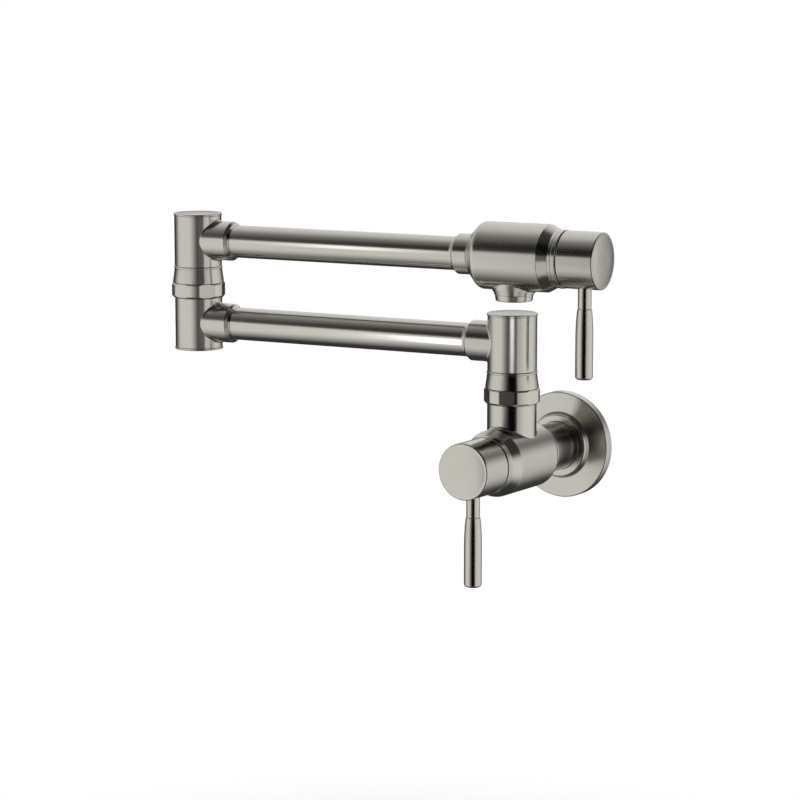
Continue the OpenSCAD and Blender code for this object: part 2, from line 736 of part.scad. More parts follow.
wall_flange();
flange_gasket();
flange_o_ring();
inlet_shank();
valve_body();
base_nut();
base_post();
base_o_rings();
base_glide_ring();
base_thrust_washer();
base_circlip();
lower_seat_seal();
lower_fixed_disc();
lower_cartridge();
lower_bonnet();
lower_moving_disc();
lower_stem();
lower_stem_o_ring();
lower_hub();
lower_lever_neck();
lower_lever_grip();
base_collar();
base_elbow();
base_cap();
lower_tube();
mid_lower_elbow();
mid_lower_cap();
mid_nut();
mid_post();
mid_o_rings();
mid_glide_ring();
mid_thrust_washer();
mid_circlip();
mid_collar();
mid_upper_elbow();
mid_upper_cap();
upper_tube();
head_collar();
head_body();
aerator_ring();
aerator_insert();
aerator_washer();
upper_seat_seal();
upper_fixed_disc();
upper_cartridge();
upper_bonnet();
upper_moving_disc();
upper_stem();
upper_stem_o_ring();
upper_hub();
upper_lever_neck();
upper_lever_grip();
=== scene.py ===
import json
import math

import bpy
import numpy as np
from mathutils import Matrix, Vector


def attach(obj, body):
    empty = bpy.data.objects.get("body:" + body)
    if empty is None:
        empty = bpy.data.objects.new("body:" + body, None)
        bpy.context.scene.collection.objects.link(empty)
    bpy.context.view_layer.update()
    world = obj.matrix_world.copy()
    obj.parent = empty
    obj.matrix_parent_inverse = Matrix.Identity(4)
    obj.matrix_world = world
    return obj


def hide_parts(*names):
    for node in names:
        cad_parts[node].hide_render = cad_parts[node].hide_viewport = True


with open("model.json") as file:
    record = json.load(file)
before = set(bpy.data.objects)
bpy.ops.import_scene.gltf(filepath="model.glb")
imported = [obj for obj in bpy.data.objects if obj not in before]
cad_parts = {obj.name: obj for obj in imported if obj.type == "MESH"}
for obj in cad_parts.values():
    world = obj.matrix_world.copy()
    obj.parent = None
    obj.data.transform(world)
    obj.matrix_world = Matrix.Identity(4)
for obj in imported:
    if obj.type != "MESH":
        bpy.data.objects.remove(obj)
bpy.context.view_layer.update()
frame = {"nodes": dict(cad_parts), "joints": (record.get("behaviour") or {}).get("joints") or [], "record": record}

# Satin nickel pot filler: wall flange, lower valve, two folded arms, head with the upper valve.
# Sizes are in millimetres and become metres in each mesh. They are those of the part's source, apart from
# the socket's reach, taper and drop, the head collar's length and the outlet's cone, which follow the photo
# more closely. The camera, the lamps, the card and the floor are in metres.

MM = 0.001
TINY = 1e-6

# Facets round a turned piece, and the angle in degrees from which an edge is shaded sharp
AROUND = 160
AROUND_BODY = 192
AROUND_NUT = 240
AROUND_FLANGE = 256
AROUND_LEVER = 96
SHARP_ANGLE = 34

# Steps of a rounded corner, the share of a leg that it may use, and the distance of the point beyond it
CORNER_STEPS = 7
CORNER_LEG_SHARE = 0.48
CORNER_BEYOND = 0.1

# Steps of a fillet, the depth of its last row and the lengths on its map in radii, and the steps of a crown
FILLET_STEPS = 10
FILLET_DEPTH = 1.8
FILLET_ARC = 1.5
FILLET_END = 2
CROWN_STEPS = 14

# Broken edges
HAIR_EDGE = 0.1
THIN_EDGE = 0.15
FINE_EDGE = 0.2
EDGE = 0.3
BARREL_EDGE = 0.35
SOFT_EDGE = 0.4
FULL_EDGE = 0.5

# Wall flange and inlet
FLANGE_R = 31.75
FLANGE_RIM_H = 6.0
FLANGE_RIM_ROUND = 0.9
FLANGE_FACE_H = 6.9
RING_R = 18.6
RING_FLANK = 1.3
RING_H = 10.2
RING_ROUND = 1.5
GASKET_OUT_R = 29.5
GASKET_IN_R = 22.5
GASKET_H = 1.5
PIPE_R = 14.35
FIT = 0.05
INLET_R = 9.3
INLET_DEPTH = 15.0
INLET_CHAMFER = 0.4
INLET_BORE_R = 6.5
SHANK_SEAT = 0.5
SHANK_BORE_ON = 9.0
THREAD_PITCH = 1.814
THREAD_DEPTH = 0.7
THREAD_START = 0.4
THREAD_STOP = 0.8
THREAD_FADE = 1.2
THREAD_ROWS = 110

# Valve body and head body, along the valve's axis from the middle of the body
BODY_R = 19.5
HALF_L = 19.75
SHOULDER_L = 5.5
SHOULDER_ROUND = 1.0
NECK_R = 16.6
NECK_L = 2.0
NECK_ROUND = 0.6
MOUTH_WALL = 1.8
MOUTH_DEPTH = 5.0
REAR_ROUND = 4.0
VALVE_REAR_R = 16.5
VALVE_REAR_L = 6.8
VALVE_REAR_NECK_L = 1.8
VALVE_REAR_LEAD = 1.2
HEAD_REAR_R = 12.1
HEAD_REAR_L = 8.4
RISER_START = 12.5
RISER_TOP = 32.7
RISER_FILLET = 1.6
NECK_END = HALF_L + SHOULDER_L + NECK_L

# Swivel stack, up from the shoulder that carries the nut
NUT_H = 8.8
NUT_R = 16.25
NUT_FLATS = 31.0
NUT_FOOT_EDGE = 1.3
NUT_TOP_EDGE = 0.6
NUT_BORE_R = 9.05
NUT_INNER_BAND = 2.0
NUT_ROW = 0.35
COLLAR_GAP = 0.15
COLLAR_H = 10.05
COLLAR_FOOT_R = 15.6
COLLAR_LIP_R = 14.75
COLLAR_IN = 6.0
LIP_H = 1.4
LIP_LINE = 0.3
COLLAR_Z = NUT_H + COLLAR_GAP
BARREL_Z = COLLAR_Z + COLLAR_H
BASE_NUT_TURN = 21.0
MID_NUT_TURN = -10.0

# Arms. The socket's end is hollowed: at half its taper it has dropped by three quarters.
BARREL_BELOW = 16.0
BARREL_ABOVE = 15.0
BASE_BARREL_ABOVE = 16.2
BARREL_BOTTOM = 15.5
TUBE_R = 9.75
TUBE_WALL = 1.5
TUBE_SEAT = 13.0
SOCKET_R = 11.8
SOCKET_START = 8.1
SOCKET_REACH = 27.8
SOCKET_TAPER = 3.0
SOCKET_DROP = 1.9
HOLLOW_LENGTH_SHARE = 0.5
HOLLOW_DROP_SHARE = 0.75
HOLLOW_ROUND = 1.0
SOCKET_LIP_EDGE = 0.05
SOCKET_BORE_EDGE = 0.02
ELBOW_FILLET = 1.3
BASE_ELBOW_FILLET = 1.8
CAP_H = 1.2
CAP_LIP = 0.35
CAP_CROWN = 0.3
CAP_CROWN_IN = 2.5
CAP_CROWN_FOOT = 0.1
CAP_ROUND = 0.7
LOWER_ARM_Z = RISER_TOP + BARREL_Z + BARREL_BELOW
MID_SHOULDER_Z = LOWER_ARM_Z + BARREL_ABOVE
UPPER_ARM_Z = MID_SHOULDER_Z + BARREL_Z + BARREL_BELOW

# Head, outlet and aerator
HEAD_X = 3.4
HEAD_COLLAR_L = 11.7
HEAD_TUBE_SEAT = 6.0
OUTLET_BACK = 2.4
OUTLET_R = 12.4
OUTLET_FOOT_R = 11.4
OUTLET_CONE_L = 3.3
OUTLET_CONE_ROUND = 2.0
OUTLET_START = 13.5
OUTLET_DROP = 21.8
OUTLET_BORE_R = 9.85
OUTLET_BORE_L = 3.0
OUTLET_FILLET = 1.2
AERATOR_R = 11.15
AERATOR_FOOT_R = 10.6
AERATOR_H = 3.7
AERATOR_ROUND = 0.8
AERATOR_SPIGOT = 2.0
INSERT_R = 8.3
INSERT_LIP = 0.8
INSERT_SET_BACK = 0.6

# Handles
BONNET_R = 16.8
BONNET_L = 2.8
BONNET_BORE_R = 11.8
BONNET_WALL = 1.7
BONNET_SPIGOT = 4.0
HUB_R = 16.45
HUB_L = 22.5
HUB_ROUND = 1.2
HUB_CROWN = 0.8
HUB_CROWN_IN = 0.6
HUB_CROWN_POWER = 3
HUB_GAP = 0.5
HUB_RECESS = 3.0
HUB_RECESS_OUT = 0.6
LEVER_AT = 11.3
LEVER_SINK = 3.0
LEVER_NECK_R = 3.9
LEVER_NECK_END = 27.8
LEVER_LINE_H = 0.3
LEVER_LINE_IN = 0.35
LEVER_OVERLAP = 0.5
GRIP_START_R = 4.2
GRIP_START_EDGE = 0.25
GRIP_START_OUT = 0.05
GRIP_START_L = 1.0
GRIP_R = 5.1
GRIP_L = 40.5
GRIP_ROUND = 1.8
GRIP_SWELL_SHARE = 0.4
GRIP_SWELL_STEPS = 16
GRIP_PLAIN_SHARE = 0.6
BONNET_END = NECK_END + BONNET_L
HUB_START = BONNET_END + HUB_GAP
HUB_END = HUB_START + HUB_L
LEVER_Z = HUB_START + LEVER_AT

joints = {j["name"]: j for j in frame["joints"]}
X, Y, Z = np.eye(3)


def joint_place(name):
    """Where a joint's axis lies, in millimetres."""
    return np.array(joints[name]["pos_m"], float) / MM


base_axis = joint_place("base_swivel") * [1, 1, 0]
mid_axis = joint_place("mid_swivel") * [1, 1, 0]
arm_x = (base_axis - mid_axis) / np.linalg.norm(base_axis - mid_axis)
arm_y = np.cross(Z, arm_x)


# Places


def axes(origin, x, z):
    """A right-handed place: its origin, and its own x, y and z directions as rows."""
    x, z = np.array(x, float), np.array(z, float)
    return np.array(origin, float), np.array([x, np.cross(z, x), z])


def put(place, points):
    """Local points carried to that place: origin + x * X + y * Y + z * Z."""
    origin, rows = place
    return origin + points @ rows


def along(place, distance):
    """The same directions, with the origin moved along the place's own z."""
    return place[0] + distance * place[1][2], place[1]


def branch(place_origin, main, side):
    """A place whose z follows a branch and whose y follows the main pipe that the branch leaves."""
    return axes(place_origin, np.cross(main, side), side)


wall = axes((0, 0, 0), X, -Y)
valve = axes(base_axis, X, -Y)
head = axes(base_axis + HEAD_X * arm_x + UPPER_ARM_Z * Z, arm_y, arm_x)
riser = axes(base_axis, X, Z)
base_stack = axes(base_axis + RISER_TOP * Z, X, Z)
base_turned = axes(base_axis + RISER_TOP * Z, arm_x, Z)
mid_stack = axes(mid_axis + MID_SHOULDER_Z * Z, arm_x, Z)
base_elbow_place = axes(base_axis + LOWER_ARM_Z * Z, arm_x, Z)
mid_lower_place = axes(mid_axis + LOWER_ARM_Z * Z, arm_x, Z)
mid_upper_place = axes(mid_axis + UPPER_ARM_Z * Z, arm_x, Z)


# Shapes


def rounded(corners, closed=False):
    """Outline through the corners (r, z, rounding). Each rounded corner is the arc of that radius tangent
    to both legs, using up to CORNER_LEG_SHARE of each, with one more point on each leg close to the arc,
    which keeps the leg's shading flat. A point of the arc is its middle + radius * (sin((1 - t) s) * first
    + sin(t s) * last) / sin s, with s the sweep and t from 0 to 1."""
    points = np.array([c[:2] for c in corners], float)
    outline = []
    count = len(points)
    for i, corner in enumerate(corners):
        here = points[i]
        radius = corner[2] if len(corner) > 2 else 0
        if radius == 0 or (not closed and i in (0, count - 1)):
            outline.append(here[None])
            continue
        back, on = points[i - 1] - here, points[(i + 1) % count] - here
        back_l, on_l = np.linalg.norm(back), np.linalg.norm(on)
        back, on = back / back_l, on / on_l
        half = math.acos(float(np.clip(back @ on, -1, 1))) / 2
        cut = min(radius / math.tan(half), CORNER_LEG_SHARE * back_l, CORNER_LEG_SHARE * on_l)
        radius = cut * math.tan(half)
        middle = here + (back + on) / np.linalg.norm(back + on) * radius / math.sin(half)
        first, last = (here + back * cut - middle) / radius, (here + on * cut - middle) / radius
        sweep = math.pi - 2 * half
        t = np.linspace(0, 1, CORNER_STEPS + 1)[:, None]
        swung = np.sin((1 - t) * sweep) * first + np.sin(t * sweep) * last
        arc = middle + radius * swung / math.sin(sweep)
        near_back = here + back * min(cut + CORNER_BEYOND, 0.5 * (cut + back_l))
        near_on = here + on * min(cut + CORNER_BEYOND, 0.5 * (cut + on_l))
        outline.append(np.vstack([near_back, arc, near_on]))
    return np.vstack(outline)


def running_length(points):
    """Distance along a chain of points, from its first one."""
    return np.concatenate([[0], np.cumsum(np.linalg.norm(np.diff(points, axis=0), axis=1))])


def turned(outline, place, closed=False, around=AROUND, push=None):
    """Surface of revolution: the outline's point (r, z) goes to (r cos t, r sin t, z) for t over a full
    turn. push(r, z, t) may change the radius. An outline that is not closed starts and ends on the axis."""
    outline = np.array(outline, float)
    ends = np.roll(outline, -1, axis=0)
    if np.sum(outline[:, 0] * ends[:, 1] - ends[:, 0] * outline[:, 1]) < 0:
        outline = outline[::-1]
    t = np.arange(around) * 2 * math.pi / around
    r, z = outline[:, :1], outline[:, 1:]
    radius = r + 0 * t if push is None else push(r, z, t)
    local = np.stack([radius * np.cos(t), radius * np.sin(t), z + 0 * t], -1)
    return {"points": put(place, local), "length": running_length(outline), "turn": t,
        "ring": float(outline[:, 0].max()), "closed": closed}


def fillet(main_r, side_r, round_r, place, around=AROUND):
    """Rolling-ball fillet where a side pipe (along z) leaves a main pipe (along y). The ball of radius q
    touches both pipes when its middle is ((b + q) cos t, (b + q) sin t, h), where h is
    sqrt((a + q)^2 - ((b + q) cos t)^2) and a and b are the pipes' radii. The surface is the ball's arc from
    one touching point to the other, closed by a row of points inside the pipes."""
    t = np.arange(around) * 2 * math.pi / around
    out = side_r + round_r
    cx, cy = out * np.cos(t), out * np.sin(t)
    cz = np.sqrt((main_r + round_r) ** 2 - cx ** 2)
    middle = np.stack([cx, cy, cz], -1)
    to_side = np.stack([-np.cos(t), -np.sin(t), 0 * t], -1)
    to_main = -np.stack([cx, 0 * t, cz], -1) / (main_r + round_r)
    sweep = np.arccos(np.clip(np.sum(to_side * to_main, -1), -1, 1))[:, None]
    s = np.linspace(0, 1, FILLET_STEPS + 1)[:, None, None]
    way = (np.sin((1 - s) * sweep) * to_side + np.sin(s * sweep) * to_main) / np.sin(sweep)
    inward = (to_side + to_main) / np.linalg.norm(to_side + to_main, axis=-1, keepdims=True)
    points = np.concatenate([middle + round_r * way, (middle + FILLET_DEPTH * round_r * inward)[None]])
    length = np.concatenate([np.linspace(0, 1, FILLET_STEPS + 1) * round_r * FILLET_ARC,
        [round_r * FILLET_END]])
    return {"points": put(place, points), "length": length, "turn": t, "ring": side_r, "closed": True,
        "flip": True}


def crown(radius, height, z, power=2):
    """Points of a shallow crown from its rim to the axis: height * (1 - (r / radius)^power) above z."""
    r = radius * np.cos(np.linspace(0, math.pi / 2, CROWN_STEPS + 1)[1:])
    r[-1] = 0
    return np.stack([r, z + height * (1 - (r / radius) ** power)], -1)


def hexagon(flats, turn):
    """Radius of a hexagon of that width across its flats: flats / 2 / cos(angle to the middle of the
    nearest flat). The band next to the bore stays round."""
    def push(r, z, t):
        """The smaller one of the turned radius and the hexagon's."""
        off = np.mod(t - math.radians(turn), math.pi / 3) - math.pi / 6
        hexed = np.where(r > NUT_BORE_R + NUT_INNER_BAND, flats / 2 / np.cos(off), r)
        return np.minimum(r + 0 * t, hexed)
    return push


def grid_faces(shell):
    """Corners of a shell's faces, with the places (row, column) of each corner before the wrap."""
    n, m = shell["points"].shape[:2]
    rows = n if shell["closed"] else n - 1
    i, j = np.meshgrid(np.arange(rows), np.arange(m), indexing="ij")
    row = np.stack([i, i, i + 1, i + 1], -1).reshape(-1, 4)
    col = np.stack([j, j + 1, j + 1, j], -1).reshape(-1, 4)
    if shell.get("flip"):
        row, col = row[:, ::-1], col[:, ::-1]
    return row, col


def piece(name, shells, body, *nodes):
    """One nickel object from several closed shells. A row that shrinks to one point becomes a single
    vertex. The map turning_map has the length along the outline and the way round it. The attribute turning
    has (cos, sin) of the turn times the largest radius, and the length along the outline."""
    points, faces, uvs, lathe = [], [], [], []
    start = 0
    for shell in shells:
        grid = shell["points"]
        n, m = grid.shape[:2]
        index = np.arange(n * m).reshape(n, m)
        shrunk = np.ptp(grid, axis=1).max(-1) < TINY
        index[shrunk] = index[shrunk][:, :1]
        row, col = grid_faces(shell)
        corner = index[row % n, col % m]
        length = np.append(shell["length"], shell["length"][-1] + 1) * MM
        angle = np.append(shell["turn"], 2 * math.pi)
        uv = np.stack([length[row], angle[col] * shell["ring"] * MM], -1)
        keep = corner != np.roll(corner, -1, axis=1)
        points.append(grid.reshape(-1, 3))
        around = np.stack([np.cos(shell["turn"]) + 0 * index, np.sin(shell["turn"]) + 0 * index], -1)
        lathe.append(np.concatenate([around * shell["ring"] * MM,
            (shell["length"][:, None] * MM + 0 * index)[..., None]], -1).reshape(-1, 3))
        faces.append((corner[keep] + start, keep.sum(1)))
        uvs.append(uv[keep])
        start += n * m
    loops = np.concatenate([f[0] for f in faces])
    sizes = np.concatenate([f[1] for f in faces])
    used, loops = np.unique(loops, return_inverse=True)
    co = np.concatenate(points)[used] * MM
    mesh = bpy.data.meshes.new(name)
    mesh.vertices.add(len(co))
    mesh.vertices.foreach_set("co", co.ravel())
    mesh.loops.add(len(loops))
    mesh.loops.foreach_set("vertex_index", loops.astype(np.int32))
    mesh.polygons.add(len(sizes))
    mesh.polygons.foreach_set("loop_start", np.concatenate([[0], np.cumsum(sizes)[:-1]]).astype(np.int32))
    mesh.polygons.foreach_set("loop_total", sizes.astype(np.int32))
    mesh.update(calc_edges=True)
    mesh.uv_layers.new(name="turning_map").data.foreach_set("uv", np.concatenate(uvs).ravel())
    mesh.attributes.new("turning", "FLOAT_VECTOR", "POINT").data.foreach_set(
        "vector", np.concatenate(lathe)[used].ravel())
    mesh.shade_smooth()
    mesh.set_sharp_from_angle(angle=math.radians(SHARP_ANGLE))
    mesh.validate()
    mesh.materials.append(nickel)
    obj = bpy.data.objects.new(name, mesh)
    bpy.context.scene.collection.objects.link(obj)
    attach(obj, body)
    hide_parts(*nodes)


# Materials

NICKEL_TONE = (0.56, 0.54, 0.49)
NICKEL_ROUGHNESS = 0.2
NICKEL_STRETCH = 0.5
NICKEL_SPREAD = 0.06

# Noises: their scales along x, y and z per metre, detail and roughness
BRUSH_LINES = ((40, 40, 9000), 3, 0.6)
BRUSH_BANDS = ((25, 25, 900), 2, 0.5)
BRUSH_CLOUDS = ((45, 45, 45), 3, 0.55)
SLOW_TONES = ((60, 60, 60), 2, 0.5)
GRAIN_DETAIL = 3
GRAIN_ROUGHNESS = 0.6

# How much the noises change tone, gloss and height; depths are in metres
LINE_SHARE = 0.6
BRUSH_SHARE = 0.6
BRUSH_TONE_SWING = 0.12
BRUSH_DEPTH = 0.000004
BRUSH_STRENGTH = 0.5
GRAIN_TONE_SWING = 0.2
GRAIN_GLOSS_SWING = 0.25
GRAIN_STRENGTH = 0.4

# Inner finishes by slot: name, colour, roughness, grains per metre, depth of the grain, metal
INNER_FINISHES = {
    "brass": ("Machined brass", (0.75, 0.55, 0.26), 0.3, 3000, 0.00001, 1.0),
    "rubber": ("Black seal rubber", (0.02, 0.02, 0.021), 0.6, 2500, 0.00002, 0.0),
    "white_plastic": ("White slide plastic", (0.78, 0.77, 0.74), 0.4, 1800, 0.00001, 0.0),
    "ceramic": ("Ground ceramic", (0.70, 0.68, 0.64), 0.18, 4000, 0.000004, 0.0),
}


def group(name, inputs, outputs):
    """An empty node group with named inputs and outputs."""
    tree = bpy.data.node_groups.new(name, "ShaderNodeTree")
    for label, kind, value in inputs:
        socket = tree.interface.new_socket(label, in_out="INPUT", socket_type=kind)
        if value is not None:
            socket.default_value = value
    for label, kind in outputs:
        tree.interface.new_socket(label, in_out="OUTPUT", socket_type=kind)
    return tree, tree.nodes.new("NodeGroupInput"), tree.nodes.new("NodeGroupOutput")


def smooth_step(tree, value, low, high):
    """0 below low, 1 above high and smooth in between."""
    ramp = tree.nodes.new("ShaderNodeMapRange")
    ramp.interpolation_type = "SMOOTHSTEP"
    ramp.inputs["From Min"].default_value, ramp.inputs["From Max"].default_value = low, high
    tree.links.new(value, ramp.inputs["Value"])
    return ramp.outputs["Result"]


def calc(tree, operation, a, b=None, clamp=False):
    """A Math node; a and b are numbers or sockets."""
    node = tree.nodes.new("ShaderNodeMath")
    node.operation = operation
    node.use_clamp = clamp
    for socket, value in zip(node.inputs, (a, b)):
        if value is None:
            continue
        if isinstance(value, bpy.types.NodeSocket):
            tree.links.new(value, socket)
        else:
            socket.default_value = value
    return node.outputs[0]


def blend(tree, first, second, share):
    """first * share + second * (1 - share)."""
    rest = calc(tree, "MULTIPLY", second, 1 - share)
    return calc(tree, "ADD", calc(tree, "MULTIPLY", first, share), rest)


def noise(tree, vector, scale, detail, rough):
    """A Noise Texture value on a vector stretched by the three scales."""
    stretch = tree.nodes.new("ShaderNodeVectorMath")
    stretch.operation = "MULTIPLY"
    tree.links.new(vector, stretch.inputs[0])
    stretch.inputs[1].default_value = scale
    node = tree.nodes.new("ShaderNodeTexNoise")
    node.inputs["Scale"].default_value = 1
    node.inputs["Detail"].default_value = detail
    node.inputs["Roughness"].default_value = rough
    tree.links.new(stretch.outputs[0], node.inputs["Vector"])
    return node.outputs["Fac"]


def brushing_group():
    """Fine lines that run round a turned piece, from its own turning attribute, with a slow cloudiness over
    them. Shade is a change of tone round 0, and Height is the lines' height from 0 to 1."""
    inputs = [("Lathe", "NodeSocketVector", None), ("Place", "NodeSocketVector", None),
        ("Roughness", "NodeSocketFloat", NICKEL_ROUGHNESS), ("Spread", "NodeSocketFloat", NICKEL_SPREAD)]
    outputs = [(label, "NodeSocketFloat") for label in ("Shade", "Roughness", "Height")]
    tree, into, out = group("Brushing", inputs, outputs)
    lines = noise(tree, into.outputs["Lathe"], *BRUSH_LINES)
    bands = noise(tree, into.outputs["Lathe"], *BRUSH_BANDS)
    clouds = noise(tree, into.outputs["Place"], *BRUSH_CLOUDS)
    mixed = blend(tree, lines, bands, LINE_SHARE)
    centred = calc(tree, "SUBTRACT", blend(tree, mixed, clouds, BRUSH_SHARE), 0.5)
    tree.links.new(calc(tree, "MULTIPLY", centred, BRUSH_TONE_SWING), out.inputs["Shade"])
    tree.links.new(calc(tree, "ADD", into.outputs["Roughness"],
        calc(tree, "MULTIPLY", centred, into.outputs["Spread"]), clamp=True), out.inputs["Roughness"])
    tree.links.new(mixed, out.inputs["Height"])
    return tree


brushing = brushing_group()


def start_material(name):
    """A material with its Principled shader and the object coordinates."""
    material = bpy.data.materials.new(name)
    material.use_nodes = True
    tree = material.node_tree
    shader = tree.nodes["Principled BSDF"]
    coords = tree.nodes.new("ShaderNodeTexCoord")
    return material, tree, shader, coords.outputs["Object"]


def tint(tree, color, value):
    """color times (1 + value)."""
    scale = tree.nodes.new("ShaderNodeVectorMath")
    scale.operation = "SCALE"
    scale.inputs[0].default_value = color
    tree.links.new(calc(tree, "ADD", value, 1.0), scale.inputs["Scale"])
    return scale.outputs[0]


def bump(tree, shader, height, distance, strength):
    """Height lines or grain of that depth on the shader's normal."""
    node = tree.nodes.new("ShaderNodeBump")
    node.inputs["Distance"].default_value = distance
    node.inputs["Strength"].default_value = strength
    tree.links.new(height, node.inputs["Height"])
    tree.links.new(node.outputs["Normal"], shader.inputs["Normal"])


def satin_nickel(name, color, roughness, stretch, spread):
    """Brushed nickel plating on a turned piece. The brushing runs round the piece, so highlights stretch
    along its outline."""
    material, tree, shader, place = start_material(name)
    shader.inputs["Metallic"].default_value = 1.0
    shader.inputs["Anisotropic"].default_value = stretch
    lathe = tree.nodes.new("ShaderNodeAttribute")
    lathe.attribute_name = "turning"
    brushed = tree.nodes.new("ShaderNodeGroup")
    brushed.node_tree = brushing
    tree.links.new(lathe.outputs["Vector"], brushed.inputs["Lathe"])
    tree.links.new(place, brushed.inputs["Place"])
    brushed.inputs["Roughness"].default_value = roughness
    brushed.inputs["Spread"].default_value = spread
    tree.links.new(tint(tree, color, brushed.outputs["Shade"]), shader.inputs["Base Color"])
    tree.links.new(brushed.outputs["Roughness"], shader.inputs["Roughness"])
    bump(tree, shader, brushed.outputs["Height"], BRUSH_DEPTH, BRUSH_STRENGTH)
    tangent = tree.nodes.new("ShaderNodeTangent")
    tangent.direction_type = "UV_MAP"
    tangent.uv_map = "turning_map"
    tree.links.new(tangent.outputs["Tangent"], shader.inputs["Tangent"])
    return material


def plain_material(name, color, roughness, grain, depth, metallic):
    """Moulded or machined material with a fine grain in tone, roughness and height."""
    material, tree, shader, place = start_material(name)
    shader.inputs["Metallic"].default_value = metallic
    fine = noise(tree, place, (grain, grain, grain), GRAIN_DETAIL, GRAIN_ROUGHNESS)
    slow = noise(tree, place, *SLOW_TONES)
    centred = calc(tree, "SUBTRACT", calc(tree, "MULTIPLY", calc(tree, "ADD", fine, slow), 0.5), 0.5)
    tone = tint(tree, color, calc(tree, "MULTIPLY", centred, GRAIN_TONE_SWING))
    tree.links.new(tone, shader.inputs["Base Color"])
    gloss = calc(tree, "ADD", calc(tree, "MULTIPLY", centred, GRAIN_GLOSS_SWING), roughness, clamp=True)
    tree.links.new(gloss, shader.inputs["Roughness"])
    bump(tree, shader, fine, depth, GRAIN_STRENGTH)
    return material


nickel = satin_nickel("Satin nickel", NICKEL_TONE, NICKEL_ROUGHNESS, NICKEL_STRETCH, NICKEL_SPREAD)
finishes = {slot: plain_material(*values) for slot, values in INNER_FINISHES.items()}
finishes["brushed_nickel"] = nickel
slot_of = {part["node"]: part["material_slot"] for part in frame["record"]["subparts"]}
for node_name, node in frame["nodes"].items():
    node.data.materials.clear()
    node.data.materials.append(finishes[slot_of[node_name]])


# Wall flange and inlet

flange_outline = rounded([
    (PIPE_R + FIT, 0, FINE_EDGE), (GASKET_IN_R, 0, FINE_EDGE), (GASKET_IN_R, GASKET_H, FINE_EDGE),
    (GASKET_OUT_R, GASKET_H, FINE_EDGE), (GASKET_OUT_R, 0, FINE_EDGE), (FLANGE_R, 0, EDGE),
    (FLANGE_R, FLANGE_RIM_H, FLANGE_RIM_ROUND), (RING_R + RING_FLANK, FLANGE_FACE_H, SOFT_EDGE),
    (RING_R, RING_H, RING_ROUND), (PIPE_R + FIT, RING_H, SOFT_EDGE)], closed=True)
piece("wall_flange_turned", [turned(flange_outline, wall, closed=True, around=AROUND_FLANGE)], "wall_body",
    "wall_flange")

shank_l = -base_axis[1] - HALF_L - VALVE_REAR_L


def thread(r, z, t):
    """Radius with the inlet's thread cut in it: a triangle wave of the height minus the turn, one pitch a
    turn, fading out at the mouth and at the bottom."""
    wave = np.abs(np.mod(z / THREAD_PITCH - t / (2 * math.pi), 1) * 2 - 1)
    room = np.minimum((z - THREAD_START) / THREAD_FADE, (INLET_DEPTH - THREAD_STOP - z) / THREAD_FADE)
    fade = np.clip(room, 0, 1)
    return r + np.where(np.abs(r - INLET_R) < TINY, THREAD_DEPTH * wave * fade, 0)


thread_rows = np.linspace(INLET_DEPTH - EDGE, EDGE, THREAD_ROWS)
shank_outline = np.vstack([
    rounded([(INLET_BORE_R, shank_l + SHANK_BORE_ON), (INLET_BORE_R, INLET_DEPTH, EDGE),
        (INLET_R, INLET_DEPTH)])[:-1],
    np.stack([INLET_R + 0 * thread_rows, thread_rows], -1),
    rounded([(INLET_R + INLET_CHAMFER, 0), (PIPE_R, 0, SOFT_EDGE),
        (PIPE_R, shank_l + SHANK_SEAT, HAIR_EDGE), (INLET_BORE_R, shank_l + SHANK_SEAT)])[:-1]])
piece("inlet_shank_turned", [turned(shank_outline, wall, closed=True, push=thread)], "wall_body",
    "inlet_shank")


# Lower valve body with its riser


def body_outline(rear_r, rear_l, rear_neck_l=0, lead=0):
    """Rear neck and cone, barrel, front shoulder, neck and open mouth of a valve body."""
    corner_z = lead - HALF_L - REAR_ROUND * math.tan(math.pi / 8)
    rear_neck = [(rear_r, -HALF_L - rear_l + rear_neck_l, SOFT_EDGE)] if rear_neck_l else []
    mouth_r = BONNET_BORE_R + MOUTH_WALL
    return rounded([(0, -HALF_L - rear_l), (rear_r, -HALF_L - rear_l, EDGE), *rear_neck,
        (BODY_R, corner_z, REAR_ROUND), (BODY_R, HALF_L, SHOULDER_ROUND),
        (NECK_R, HALF_L + SHOULDER_L, NECK_ROUND), (NECK_R, NECK_END, FINE_EDGE),
        (mouth_r, NECK_END, FINE_EDGE), (mouth_r, NECK_END - MOUTH_DEPTH, FINE_EDGE),
        (0, NECK_END - MOUTH_DEPTH)])


valve_outline = body_outline(VALVE_REAR_R, VALVE_REAR_L, VALVE_REAR_NECK_L, VALVE_REAR_LEAD)
riser_outline = rounded([(0, RISER_START), (PIPE_R, RISER_START), (PIPE_R, RISER_TOP, EDGE),
    (0, RISER_TOP)])
piece("valve_body_cast", [turned(valve_outline, valve, around=AROUND_BODY),
    turned(riser_outline, riser, around=AROUND_BODY),
    fillet(BODY_R, PIPE_R, RISER_FILLET, branch(base_axis, Y, Z), around=AROUND_BODY)],
    "wall_body", "valve_body")


# Swivels: nut, flared collar, caps


